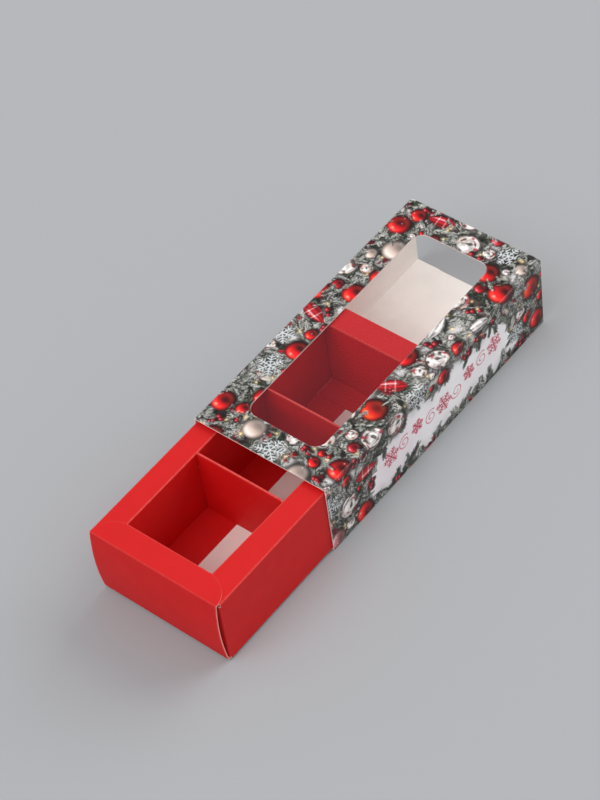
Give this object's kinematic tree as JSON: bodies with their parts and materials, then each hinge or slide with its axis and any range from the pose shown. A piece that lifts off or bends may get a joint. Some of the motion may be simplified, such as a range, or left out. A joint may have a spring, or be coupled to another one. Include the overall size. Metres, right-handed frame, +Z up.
{
  "type": "gift box",
  "caption": "Drawer gift box: a red card tray with hollow walls, dividers and square cells slides in a printed card sleeve with a film window.",
  "frame": {"origin": "centre of the sleeve's flat underside, where the box rests", "axes": "+X along the sleeve, away from the end that the tray is pulled out of in the picture; +Y to the left when looking along +X; +Z up"},
  "size_m": [0.1957, 0.0614, 0.0355],
  "materials": {
    "printed_card": "coated card, satin, printed all over with a garland of spruce, baubles, berries and snowflakes",
    "white_card": "unprinted uncoated back of the card, matt",
    "red_card": "coated card printed solid red, satin",
    "clear_film": "thin clear film, glossy, slightly hazy"
  },
  "bodies": {
    "sleeve": {"sleeve_top": "printed_card", "sleeve_bottom": "printed_card", "sleeve_left_side": "printed_card", "sleeve_right_side": "printed_card", "sleeve_glue_flap": "white_card", "window_film": "clear_film"},
    "tray": {"tray_base": "white_card", "tray_left_wall": "red_card", "tray_left_rim": "red_card", "tray_left_inner_wall": "red_card", "tray_left_floor_flap": "red_card", "tray_right_wall": "red_card", "tray_right_rim": "red_card", "tray_right_inner_wall": "red_card", "tray_right_floor_flap": "red_card", "tray_near_end": "red_card", "tray_near_rim": "red_card", "tray_near_inner_wall": "red_card", "tray_near_floor_flap": "red_card", "tray_far_end": "red_card", "tray_far_rim": "red_card", "tray_far_inner_wall": "red_card", "tray_far_floor_flap": "red_card", "tray_near_left_dust_flap": "red_card", "tray_near_right_dust_flap": "red_card", "tray_far_left_dust_flap": "red_card", "tray_far_right_dust_flap": "red_card", "near_divider": "red_card", "far_divider": "red_card"}
  },
  "joints": [
    {"name": "tray_slide", "type": "slide", "parent": "sleeve", "child": "tray", "axis": [-1, 0, 0], "range_m": [-0.196, 0.0765]}
  ]
}
